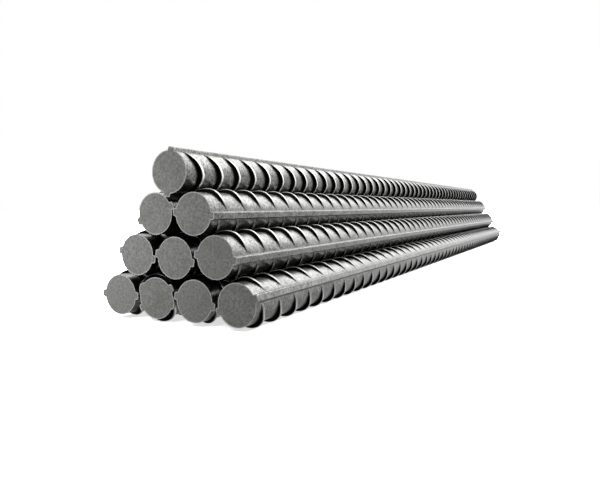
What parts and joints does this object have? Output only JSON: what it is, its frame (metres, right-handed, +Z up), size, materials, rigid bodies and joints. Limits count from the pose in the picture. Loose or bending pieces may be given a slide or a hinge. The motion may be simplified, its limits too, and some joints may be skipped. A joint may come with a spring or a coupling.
{
  "type": "rebar bundle",
  "caption": "Stack of straight ribbed reinforcing bars lying in rows that narrow upward, each bar in the groove between two below, with square-cut ends.",
  "frame": {"origin": "middle of the bundle's footprint on the floor", "axes": "+Y along the bars, away from the ends that the picture shows close up; +X to the right seen from those ends; +Z up"},
  "size_m": [0.1271, 1.004, 0.1125],
  "materials": {
    "bar_steel": "hot-rolled carbon steel with thin grey mill scale, bare sawn ends"
  },
  "bodies": {
    "root": {"bottom_bar_1": "bar_steel", "bottom_bar_2": "bar_steel", "bottom_bar_3": "bar_steel", "bottom_bar_4": "bar_steel", "second_bar_1": "bar_steel", "second_bar_2": "bar_steel", "second_bar_3": "bar_steel", "third_bar_1": "bar_steel", "third_bar_2": "bar_steel", "top_bar": "bar_steel"}
  },
  "joints": []
}
